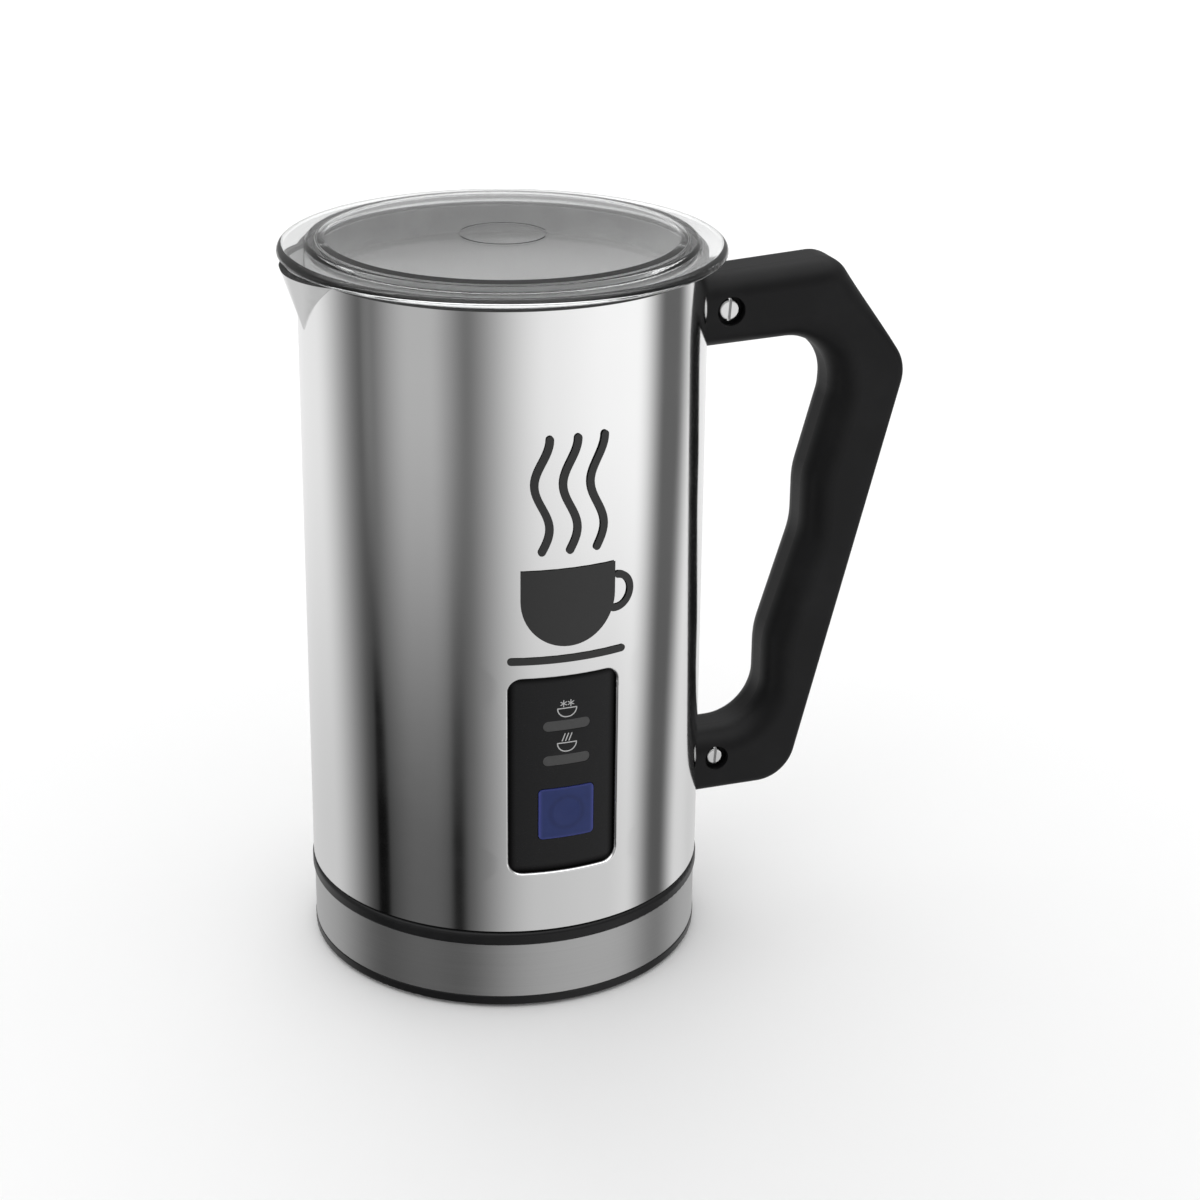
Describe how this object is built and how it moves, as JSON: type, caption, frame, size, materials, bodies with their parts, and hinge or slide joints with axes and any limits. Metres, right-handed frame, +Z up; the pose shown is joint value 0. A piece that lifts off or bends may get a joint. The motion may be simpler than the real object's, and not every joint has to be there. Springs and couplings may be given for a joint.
{
  "type": "electric milk frother",
  "caption": "Electric milk frother: polished steel jug with side handle, pouring lip, control panel and clear lid, lifting off a round power base.",
  "frame": {"origin": "on the jug's axis, at the surface that the base's feet stand on", "axes": "+Z up along the jug's axis; the handle is on +X, the pouring lip on -X, and the control panel faces -Y"},
  "size_m": [0.1754, 0.119, 0.2024],
  "materials": {
    "black_plastic": "satin moulded black plastic",
    "board_green": "green circuit board",
    "bowl_coating": "satin grey non-stick coating",
    "brass_contact": "bright brass",
    "brushed_band": "fine circumferential brushing",
    "button_blue": "satin translucent blue plastic",
    "cast_aluminium": "as cast",
    "clear_plastic": "clear moulded plastic",
    "drive_plastic": "grey moulded plastic",
    "grip_plastic": "soft satin black plastic",
    "led_white": "pale translucent resin",
    "magnet": "nickel plated",
    "panel_plastic": "smooth black plastic",
    "plain_steel": "plain zinc-plated or stainless steel",
    "polished_steel": "mirror polished stainless steel",
    "rubber_black": "black rubber",
    "silicone": "translucent grey silicone",
    "smoked_plastic": "smoked translucent plastic",
    "switch_plastic": "black plastic"
  },
  "bodies": {
    "power_base": {"base_floor": "black_plastic", "base_band": "brushed_band", "base_deck": "black_plastic", "rubber_foot_ring": "rubber_black", "base_screws": "plain_steel", "cord_inlet": "rubber_black"},
    "base_connector": {"connector_plug": "black_plastic", "connector_contacts": "brass_contact"},
    "jug": {"jug_shell": "polished_steel", "milk_bowl": "bowl_coating", "jug_bottom": "black_plastic", "connector_socket": "black_plastic", "socket_contacts": "brass_contact", "panel_plate": "panel_plastic", "cold_light_window": "smoked_plastic", "warm_light_window": "smoked_plastic", "control_board": "board_green", "board_screws": "plain_steel", "switch_body": "switch_plastic", "indicator_leds": "led_white", "handle": "grip_plastic", "upper_handle_lug": "plain_steel", "lower_handle_lug": "plain_steel", "handle_screws": "plain_steel", "heater_plate": "cast_aluminium", "heating_element": "plain_steel", "thermal_cutout": "plain_steel", "thermistor": "plain_steel", "motor_bracket": "plain_steel", "bracket_screws": "plain_steel", "motor_can": "plain_steel", "motor_screws": "plain_steel"},
    "button": {"push_button": "button_blue"},
    "switch": {"switch_plunger": "switch_plastic"},
    "rotor": {"rotor_shaft": "plain_steel", "rotor_disc": "drive_plastic", "rotor_magnets": "magnet"},
    "whisk_spindle": {"whisk_pin": "plain_steel"},
    "whisk": {"whisk_frame": "drive_plastic", "whisk_magnets": "magnet", "whisk_coil": "plain_steel"},
    "lid": {"lid_cover": "clear_plastic", "lid_gasket": "silicone"}
  },
  "joints": [
    {"name": "jug_turn", "type": "hinge", "parent": "power_base", "child": "base_connector", "pos_m": [0, 0, 0.02], "axis": [0, 0, 1], "continuous": true},
    {"name": "jug_lift", "type": "slide", "parent": "base_connector", "child": "jug", "axis": [0, 0, 1], "range_m": [0, 0.06]},
    {"name": "lid_lift", "type": "slide", "parent": "jug", "child": "lid", "axis": [0, 0, 1], "range_m": [0, 0.14]},
    {"name": "rotor_spin", "type": "hinge", "parent": "jug", "child": "rotor", "pos_m": [0, 0, 0.05], "axis": [0, 0, 1], "continuous": true},
    {"name": "whisk_spin", "type": "hinge", "parent": "jug", "child": "whisk_spindle", "pos_m": [0, 0, 0.07], "axis": [0, 0, 1], "continuous": true},
    {"name": "whisk_lift", "type": "slide", "parent": "whisk_spindle", "child": "whisk", "axis": [0, 0, 1], "range_m": [0, 0.14]},
    {"name": "button_press", "type": "slide", "parent": "jug", "child": "button", "axis": [0, 1, 0], "range_m": [0, 0.0006], "stiffness_N_per_m": 400, "springref_m": -0.0008},
    {"name": "switch_press", "type": "slide", "parent": "jug", "child": "switch", "axis": [0, 1, 0], "range_m": [0, 0.0006]}
  ],
  "couplings": [
    {"joint": "whisk_spin", "follows": "rotor_spin", "ratio": 1},
    {"joint": "whisk_lift", "follows": "lid_lift", "ratio": 1},
    {"joint": "switch_press", "follows": "button_press", "ratio": 1}
  ]
}
